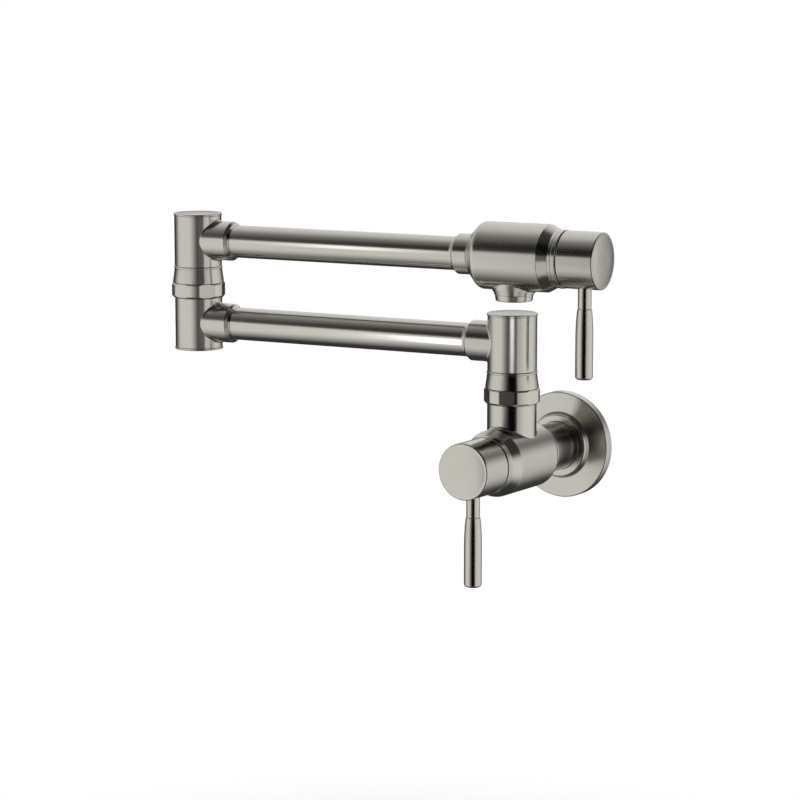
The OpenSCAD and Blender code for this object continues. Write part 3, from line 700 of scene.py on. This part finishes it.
def swivel_nut(name, place, turn, body, node_name):
    """A turned ring with a chamfered foot and top, cut to a hexagon. Its outline has a row every NUT_ROW,
    so that the flats end on a clean curve."""
    outline = rounded([(NUT_BORE_R, 0, FINE_EDGE), (NUT_R - NUT_FOOT_EDGE, 0, EDGE),
        (NUT_R, NUT_FOOT_EDGE, EDGE), (NUT_R, NUT_H - NUT_TOP_EDGE, EDGE),
        (NUT_R - NUT_TOP_EDGE, NUT_H, EDGE), (NUT_BORE_R, NUT_H, FINE_EDGE)], closed=True)
    outline = np.vstack([outline, outline[:1]])
    chain = running_length(outline)
    rows = np.unique(np.concatenate([chain[:-1], np.arange(0, chain[-1], NUT_ROW)]))
    outline = np.stack([np.interp(rows, chain, outline[:, 0]), np.interp(rows, chain, outline[:, 1])], -1)
    shell = turned(outline, place, closed=True, around=AROUND_NUT, push=hexagon(NUT_FLATS, turn))
    piece(name, [shell], body, node_name)


def swivel_collar(name, place, body, node_name):
    """A collar that flares down from its lip, with a fine line under the lip."""
    lip_z = BARREL_Z - LIP_H
    outline = rounded([(PIPE_R - COLLAR_IN, COLLAR_Z), (COLLAR_FOOT_R, COLLAR_Z, SOFT_EDGE),
        (COLLAR_LIP_R - LIP_LINE, lip_z - LIP_LINE, EDGE), (COLLAR_LIP_R - LIP_LINE, lip_z, HAIR_EDGE),
        (COLLAR_LIP_R, lip_z + LIP_LINE, FINE_EDGE), (COLLAR_LIP_R, BARREL_Z - LIP_LINE, FINE_EDGE),
        (COLLAR_LIP_R - LIP_LINE, BARREL_Z, FINE_EDGE), (PIPE_R - COLLAR_IN, BARREL_Z)], closed=True)
    piece(name, [turned(outline, place, closed=True)], body, node_name)


swivel_nut("base_nut_hex", base_stack, BASE_NUT_TURN, "wall_body", "base_nut")
swivel_collar("base_collar_flared", base_turned, "lower_arm", "base_collar")
swivel_nut("mid_nut_hex", mid_stack, MID_NUT_TURN, "lower_arm", "mid_nut")
swivel_collar("mid_collar_flared", mid_stack, "upper_arm", "mid_collar")


def cap(name, place, z, up, body, node_name):
    """Cap with a rounded edge and a shallow crown, on top of a barrel or under it."""
    side = 1 if up else -1
    out = PIPE_R + CAP_LIP
    crown_r, crown_z = out - CAP_CROWN_IN, CAP_H + CAP_CROWN_FOOT
    rim = rounded([(0, 0), (out, 0, THIN_EDGE), (out, CAP_H, CAP_ROUND), (crown_r, crown_z)])[:-1]
    outline = np.vstack([rim, crown(crown_r, CAP_CROWN - CAP_CROWN_FOOT, crown_z)])
    piece(name, [turned(outline * [1, side] + [0, z], place, around=AROUND_BODY)], body, node_name)


cap("base_cap_crowned", base_elbow_place, BASE_BARREL_ABOVE, True, "lower_arm", "base_cap")
cap("mid_lower_cap_crowned", mid_lower_place, -BARREL_BOTTOM, False, "lower_arm", "mid_lower_cap")
cap("mid_upper_cap_crowned", mid_upper_place, BARREL_ABOVE, True, "upper_arm", "mid_upper_cap")


# Elbows and tubes


def socket_end(reach, side):
    """The end of a socket: a short hollow taper from its outside to the tube, towards that side of the
    place."""
    hollow_r = SOCKET_R - HOLLOW_DROP_SHARE * SOCKET_DROP
    return [(SOCKET_R, side * (reach - SOCKET_TAPER), FULL_EDGE),
        (hollow_r, side * (reach - HOLLOW_LENGTH_SHARE * SOCKET_TAPER), HOLLOW_ROUND),
        (SOCKET_R - SOCKET_DROP, side * reach, SOCKET_LIP_EDGE),
        (TUBE_R + FIT, side * reach, SOCKET_BORE_EDGE)]


def elbow(name, place, z0, z1, side, body, node_name, round_r=ELBOW_FILLET):
    """Barrel with broken edges, socket with a tapered end, and the fillet between them."""
    barrel = rounded([(0, z0), (PIPE_R, z0, BARREL_EDGE), (PIPE_R, z1, BARREL_EDGE), (0, z1)])
    socket = rounded([(TUBE_R + FIT, SOCKET_START), (SOCKET_R, SOCKET_START), *socket_end(SOCKET_REACH, 1)],
        closed=True)
    out = branch(place[0], Z, side * arm_x)
    piece(name, [turned(barrel, place, around=AROUND_BODY), turned(socket, out, closed=True),
        fillet(PIPE_R, SOCKET_R, round_r, out)], body, node_name)


elbow("base_elbow_cast", base_elbow_place, -BARREL_BELOW, BASE_BARREL_ABOVE, -1, "lower_arm", "base_elbow",
    BASE_ELBOW_FILLET)
elbow("mid_lower_elbow_cast", mid_lower_place, -BARREL_BOTTOM, BARREL_ABOVE, 1, "lower_arm",
    "mid_lower_elbow")
elbow("mid_upper_elbow_cast", mid_upper_place, -BARREL_BELOW, BARREL_ABOVE, 1, "upper_arm",
    "mid_upper_elbow")


def arm_tube(name, place, length, body, node_name):
    """A drawn tube along the arm, from its seat in the middle column's elbow."""
    out = along(branch(place[0], Z, arm_x), TUBE_SEAT)
    outline = rounded([(TUBE_R - TUBE_WALL, 0, EDGE), (TUBE_R, 0, EDGE), (TUBE_R, length, EDGE),
        (TUBE_R - TUBE_WALL, length, EDGE)], closed=True)
    piece(name, [turned(outline, out, closed=True)], body, node_name)


arm_l = float(np.linalg.norm(base_axis - mid_axis))
head_rear = HEAD_X - HALF_L - HEAD_REAR_L
arm_tube("lower_tube_drawn", mid_lower_place, arm_l - 2 * TUBE_SEAT, "lower_arm", "lower_tube")
arm_tube("upper_tube_drawn", mid_upper_place, arm_l - TUBE_SEAT + head_rear + HEAD_TUBE_SEAT, "upper_arm",
    "upper_tube")


# Head with outlet and aerator

collar_outline = rounded([(TUBE_R + FIT, 0), (SOCKET_R, 0, EDGE), *socket_end(HEAD_COLLAR_L, -1)],
    closed=True)
piece("head_collar_turned", [turned(collar_outline, along(head, -HALF_L - HEAD_REAR_L), closed=True)],
    "upper_arm", "head_collar")

spout = branch(head[0] - OUTLET_BACK * arm_x, arm_x, -Z)
spout_outline = rounded([(0, OUTLET_START), (OUTLET_R, OUTLET_START),
    (OUTLET_R, OUTLET_DROP - OUTLET_CONE_L, OUTLET_CONE_ROUND), (OUTLET_FOOT_R, OUTLET_DROP, FINE_EDGE),
    (OUTLET_BORE_R, OUTLET_DROP, EDGE), (OUTLET_BORE_R, OUTLET_DROP - OUTLET_BORE_L),
    (0, OUTLET_DROP - OUTLET_BORE_L)])
piece("head_body_cast", [turned(body_outline(HEAD_REAR_R, HEAD_REAR_L), head, around=AROUND_BODY),
    turned(spout_outline, spout), fillet(BODY_R, OUTLET_R, OUTLET_FILLET, spout)], "upper_arm", "head_body")

aerator_end = OUTLET_DROP + AERATOR_H
insert_end = aerator_end - INSERT_SET_BACK
aerator_outline = rounded([(INSERT_R, OUTLET_DROP - AERATOR_SPIGOT, FINE_EDGE),
    (OUTLET_BORE_R - FIT, OUTLET_DROP - AERATOR_SPIGOT, FINE_EDGE), (OUTLET_BORE_R - FIT, OUTLET_DROP),
    (AERATOR_R, OUTLET_DROP, FINE_EDGE), (AERATOR_FOOT_R, aerator_end, AERATOR_ROUND),
    (INSERT_R - INSERT_LIP, aerator_end, EDGE), (INSERT_R - INSERT_LIP, insert_end, FINE_EDGE),
    (INSERT_R, insert_end)], closed=True)
piece("aerator_ring_turned", [turned(aerator_outline, spout, closed=True)], "upper_arm", "aerator_ring")


# Handles: bonnet ring, hub and pin lever on each valve


def bonnet_outline():
    """The ring between a body and its hub, with the spigot that goes into the body's mouth."""
    spigot_r, spigot_z = BONNET_BORE_R + BONNET_WALL, NECK_END - BONNET_SPIGOT
    return rounded([(BONNET_BORE_R, spigot_z, FINE_EDGE), (spigot_r, spigot_z, FINE_EDGE),
        (spigot_r, NECK_END), (BONNET_R, NECK_END, FULL_EDGE), (BONNET_R, BONNET_END, FULL_EDGE),
        (BONNET_BORE_R, BONNET_END, FINE_EDGE)], closed=True)


def hub_outline():
    """A cylinder with a recess at its start and a rounded edge and a crown at its end."""
    recess_r, recess_z = BONNET_BORE_R + HUB_RECESS_OUT, HUB_START + HUB_RECESS
    crown_r = HUB_R - HUB_ROUND - HUB_CROWN_IN
    return np.vstack([
        rounded([(0, recess_z), (recess_r, recess_z, FINE_EDGE), (recess_r, HUB_START, EDGE),
            (HUB_R, HUB_START, SOFT_EDGE), (HUB_R, HUB_END, HUB_ROUND), (crown_r, HUB_END)])[:-1],
        crown(crown_r, HUB_CROWN, HUB_END, power=HUB_CROWN_POWER)])


def lever_neck_outline():
    """The lever's neck, from inside the hub to the fine line where the grip starts."""
    line_r = LEVER_NECK_R - LEVER_LINE_IN
    return rounded([(0, HUB_R - LEVER_SINK), (LEVER_NECK_R, HUB_R - LEVER_SINK),
        (LEVER_NECK_R, LEVER_NECK_END - LEVER_LINE_H, THIN_EDGE),
        (line_r, LEVER_NECK_END - LEVER_LINE_H / 2), (line_r, LEVER_NECK_END + LEVER_OVERLAP),
        (0, LEVER_NECK_END + LEVER_OVERLAP)])


def lever_grip_outline():
    """The grip: its radius swells as 1 - (1 - s)^2 over its first part and stays the same after that."""
    share = np.linspace(0, GRIP_SWELL_SHARE, GRIP_SWELL_STEPS)[1:]
    swell = GRIP_START_R + (GRIP_R - GRIP_START_R) * (1 - (1 - share / GRIP_SWELL_SHARE) ** 2)
    end = LEVER_NECK_END + GRIP_L
    return np.vstack([
        rounded([(0, LEVER_NECK_END), (GRIP_START_R, LEVER_NECK_END, GRIP_START_EDGE),
            (GRIP_START_R + GRIP_START_OUT, LEVER_NECK_END + GRIP_START_L)]),
        np.stack([swell, LEVER_NECK_END + GRIP_L * share], -1)[1:],
        rounded([(GRIP_R, LEVER_NECK_END + GRIP_L * GRIP_PLAIN_SHARE), (GRIP_R, end, GRIP_ROUND),
            (0, end)])])


def handle(prefix, place, lever_x, fixed_body, body):
    """Bonnet ring, hub and hanging pin lever of one valve."""
    piece(prefix + "_bonnet_ring", [turned(bonnet_outline(), place, closed=True)], fixed_body,
        prefix + "_bonnet")
    piece(prefix + "_hub_turned", [turned(hub_outline(), place, around=AROUND_BODY)], body, prefix + "_hub")
    lever = axes(along(place, LEVER_Z)[0], lever_x, -Z)
    piece(prefix + "_lever_neck_pin", [turned(lever_neck_outline(), lever, around=AROUND_LEVER)], body,
        prefix + "_lever_neck")
    piece(prefix + "_lever_grip_pin", [turned(lever_grip_outline(), lever, around=AROUND_LEVER)], body,
        prefix + "_lever_grip")


handle("lower", valve, X, "wall_body", "lower_handle")
handle("upper", head, arm_x, "upper_arm", "upper_handle")


# Camera, at the photo's angle

CAMERA_TURN = math.radians(33.527)
CAMERA_RISE = math.radians(9.042)
CAMERA_FAR = 1.68425
CAMERA_AIM = (-0.087613, -0.04717, 0.024608)
FOCAL_PIXELS = 2804.863
PHOTO_PIXELS = 800
SENSOR_WIDTH = 36
CLIP_START = 0.05

camera_data = bpy.data.cameras.new("Camera")
camera_data.sensor_width = SENSOR_WIDTH
camera_data.lens = FOCAL_PIXELS / PHOTO_PIXELS * SENSOR_WIDTH
camera_data.clip_start = CLIP_START
camera = bpy.data.objects.new("Camera", camera_data)
bpy.context.scene.collection.objects.link(camera)
to_camera = Vector((math.sin(CAMERA_TURN) * math.cos(CAMERA_RISE),
    -math.cos(CAMERA_TURN) * math.cos(CAMERA_RISE), math.sin(CAMERA_RISE)))
camera.location = Vector(CAMERA_AIM) + CAMERA_FAR * to_camera
camera.rotation_euler = to_camera.to_track_quat("Z", "Y").to_euler()
bpy.context.scene.camera = camera
bpy.context.scene.view_settings.view_transform = "Standard"


# Studio: a white room that reflections see as panels and a dark flag far round the object. Turn 0 looks out
# from the wall and 90 to the right. Each panel is (turn, rise, level), and its turn and rise are degrees of
# start, full, end of full and end.

PANELS = (
    ((-105, -58, 10, 60), (-78, -26, 8, 30), 0.95),
    ((36, 48, 130, 188), (-62, -24, 4, 30), 0.5),
    ((45, 98, 130, 188), (-62, -24, 4, 30), 0.95),
    ((-215, -165, -155, 0), (0, 13, 90, 91), 0.95),
)
DARK_FLAG = ((-35, -26, 60, 80), (13, 20, 42, 66), 1.0)
ROOM_LIGHT = 0.05
AMBIENT = 0.55
DEGREES = 180 / math.pi

world = bpy.data.worlds.new("Studio")
bpy.context.scene.world = world
world.use_nodes = True
world.cycles.sampling_method = "NONE"
tree = world.node_tree
background = tree.nodes["Background"]
background.inputs["Color"].default_value = (1, 1, 1, 1)
ray = tree.nodes.new("ShaderNodeLightPath")
coords = tree.nodes.new("ShaderNodeTexCoord")
split = tree.nodes.new("ShaderNodeSeparateXYZ")
tree.links.new(coords.outputs["Generated"], split.inputs[0])
outward = calc(tree, "MULTIPLY", split.outputs["Y"], -1)
turned_to = calc(tree, "MULTIPLY", calc(tree, "ARCTAN2", split.outputs["X"], outward), DEGREES)
raised_to = calc(tree, "MULTIPLY", calc(tree, "ARCSINE", split.outputs["Z"]), DEGREES)


def without(tree, value):
    """1 minus a value."""
    return calc(tree, "SUBTRACT", 1.0, value)


def window(turn, rise, level):
    """A soft-edged rectangle of the studio."""
    angle = calc(tree, "FLOORED_MODULO", calc(tree, "SUBTRACT", turned_to, turn[0]), 360)
    sides = calc(tree, "SUBTRACT", smooth_step(tree, angle, 0, turn[1] - turn[0]),
        smooth_step(tree, angle, turn[2] - turn[0], turn[3] - turn[0]))
    heights = calc(tree, "SUBTRACT", smooth_step(tree, raised_to, rise[0], rise[1]),
        smooth_step(tree, raised_to, rise[2], rise[3]))
    return calc(tree, "MULTIPLY", calc(tree, "MULTIPLY", sides, heights), level)


shade = 1 - ROOM_LIGHT
for panel in PANELS:
    shade = calc(tree, "MULTIPLY", without(tree, window(*panel)), shade)
lit = calc(tree, "MULTIPLY", without(tree, window(*DARK_FLAG)), without(tree, shade))
mirrored = calc(tree, "MAXIMUM", ray.outputs["Is Glossy Ray"], ray.outputs["Is Transmission Ray"])
plain = calc(tree, "MAXIMUM", ray.outputs["Is Camera Ray"], AMBIENT)
strength = calc(tree, "ADD", calc(tree, "MULTIPLY", mirrored, lit),
    calc(tree, "MULTIPLY", without(tree, mirrored), plain))
tree.links.new(strength, background.inputs["Strength"])

KEY_PLACE = (-0.9, -1.1, 1.5)
KEY_AIM = (-0.09, -0.05, 0.03)
KEY_SIZE = 0.9
KEY_WATTS = 2

# Lamps that show only as highlights on the pieces named with them: name, tone, place, width, height, watts
# and pieces
STREAK_TONE = (0.88, 0.93, 1.0)
FILL_TONE = (1.0, 1.0, 1.0)
BASE_BARREL = ("base_elbow_cast", "base_cap_crowned")
FILLED = BASE_BARREL + ("mid_lower_elbow_cast", "mid_lower_cap_crowned", "mid_nut_hex", "mid_collar_flared",
    "mid_upper_elbow_cast", "mid_upper_cap_crowned", "head_body_cast", "aerator_ring_turned")
GLINTS = (
    ("Barrel strip", STREAK_TONE, (0.21, -0.42, 0.085), 0.12, 0.19, 0.12, BASE_BARREL),
    ("Column fill", FILL_TONE, (0.19, -0.45, -0.05), 0.52, 0.5, 0.13, FILLED),
    ("Bevel fill", FILL_TONE, (0.243, -0.333, -0.147), 0.15, 0.46, 0.13, ("head_body_cast",)),
    ("Upper tube glint", STREAK_TONE, (-0.217, -0.359, 0.145), 0.055, 0.1, 0.024, ("upper_tube_drawn",)),
    ("Lower tube glint", STREAK_TONE, (-0.14, -0.354, -0.01), 0.06, 0.2, 0.1, ("lower_tube_drawn",)),
)


def softbox(name, place, aim, width, height, watts):
    """A soft rectangular lamp that looks at a point."""
    data = bpy.data.lights.new(name, "AREA")
    data.shape = "RECTANGLE"
    data.size, data.size_y = width, height
    data.energy = watts
    lamp = bpy.data.objects.new(name, data)
    bpy.context.scene.collection.objects.link(lamp)
    lamp.location = place
    lamp.rotation_euler = (Vector(place) - Vector(aim)).to_track_quat("Z", "Y").to_euler()
    return lamp


def glint(name, tone, place, width, height, watts, pieces):
    """An upright soft lamp that shows only as a highlight on its pieces, turned towards their middle."""
    boxes = [[corner[:] for corner in bpy.data.objects[shown].bound_box] for shown in pieces]
    middle = np.mean([np.mean(box, axis=0) for box in boxes], axis=0)
    lamp = softbox(name, place, (middle[0], middle[1], place[2]), width, height, watts)
    lamp.visible_diffuse = False
    lamp.data.color = tone
    receivers = bpy.data.collections.new(name + " pieces")
    for shown in pieces:
        receivers.objects.link(bpy.data.objects[shown])
    lamp.light_linking.receiver_collection = receivers


key = softbox("Key softbox", KEY_PLACE, KEY_AIM, KEY_SIZE, KEY_SIZE, KEY_WATTS)
key.visible_glossy = False
for values in GLINTS:
    glint(*values)

# The card that gives the dark line of the columns and levers: its ends on the floor plan, its foot and top,
# and how soft its left and right edges are
CARD_LEFT = (-0.27, -0.673)
CARD_RIGHT = (0.464, -0.375)
CARD_LOW = -0.6
CARD_HIGH = 0.5
CARD_SOFT = (0.469, 0.05)
CARD_TONE = (0.002, 0.002, 0.002, 1)


def flag_card(name, left, right, low, high, soft):
    """A black card that only reflections see. It stands between two points of the floor plan, with soft
    upright edges on the left and right."""
    material, tree, shader, place = start_material(name)
    shader.inputs["Base Color"].default_value = CARD_TONE
    shader.inputs["Specular IOR Level"].default_value = 0
    shader.inputs["Roughness"].default_value = 1
    split = tree.nodes.new("ShaderNodeSeparateXYZ")
    tree.links.new(place, split.inputs[0])
    across = split.outputs["X"]
    half_w, half_h = math.dist(left, right) / 2, (high - low) / 2
    edges = calc(tree, "MULTIPLY", smooth_step(tree, across, -half_w, soft[0] - half_w),
        without(tree, smooth_step(tree, across, half_w - soft[1], half_w)))
    tree.links.new(edges, shader.inputs["Alpha"])
    mesh = bpy.data.meshes.new(name)
    mesh.from_pydata([(-half_w, 0, -half_h), (half_w, 0, -half_h), (half_w, 0, half_h),
        (-half_w, 0, half_h)], [], [(0, 1, 2, 3)])
    mesh.materials.append(material)
    card = bpy.data.objects.new(name, mesh)
    card.location = ((left[0] + right[0]) / 2, (left[1] + right[1]) / 2, (low + high) / 2)
    card.rotation_euler.z = math.atan2(right[1] - left[1], right[0] - left[0])
    card.visible_camera = card.visible_diffuse = card.visible_shadow = False
    bpy.context.scene.collection.objects.link(card)


flag_card("Front flag", CARD_LEFT, CARD_RIGHT, CARD_LOW, CARD_HIGH, CARD_SOFT)

# A round pale floor that fades out towards its edge, with a little light of its own for the camera alone
FLOOR_PLACE = (-0.09, -0.06, -0.36)
FLOOR_R = 0.55
FLOOR_CORNERS = 96
FLOOR_TONE = (0.93, 0.93, 0.92, 1)
FLOOR_ROUGHNESS = 0.8
FLOOR_LIFT = 0.28
FADE_START_SHARE = 0.5
FADE_END_SHARE = 0.98


def pale_floor():
    """A disc of corners at (r cos t, r sin t)."""
    material, tree, shader, place = start_material("Pale floor")
    shader.inputs["Base Color"].default_value = FLOOR_TONE
    shader.inputs["Roughness"].default_value = FLOOR_ROUGHNESS
    shader.inputs["Emission Color"].default_value = (1, 1, 1, 1)
    seen = tree.nodes.new("ShaderNodeLightPath").outputs["Is Camera Ray"]
    tree.links.new(calc(tree, "MULTIPLY", seen, FLOOR_LIFT), shader.inputs["Emission Strength"])
    distance = tree.nodes.new("ShaderNodeVectorMath")
    distance.operation = "LENGTH"
    tree.links.new(place, distance.inputs[0])
    fade = smooth_step(tree, distance.outputs["Value"], FLOOR_R * FADE_START_SHARE,
        FLOOR_R * FADE_END_SHARE)
    tree.links.new(without(tree, fade), shader.inputs["Alpha"])
    mesh = bpy.data.meshes.new("Floor")
    t = np.linspace(0, 2 * math.pi, FLOOR_CORNERS, endpoint=False)
    mesh.from_pydata(np.stack([FLOOR_R * np.cos(t), FLOOR_R * np.sin(t), 0 * t], -1).tolist(), [],
        [list(range(FLOOR_CORNERS))])
    mesh.materials.append(material)
    floor = bpy.data.objects.new("Floor", mesh)
    floor.location = FLOOR_PLACE
    floor.visible_glossy = False
    bpy.context.scene.collection.objects.link(floor)


pale_floor()
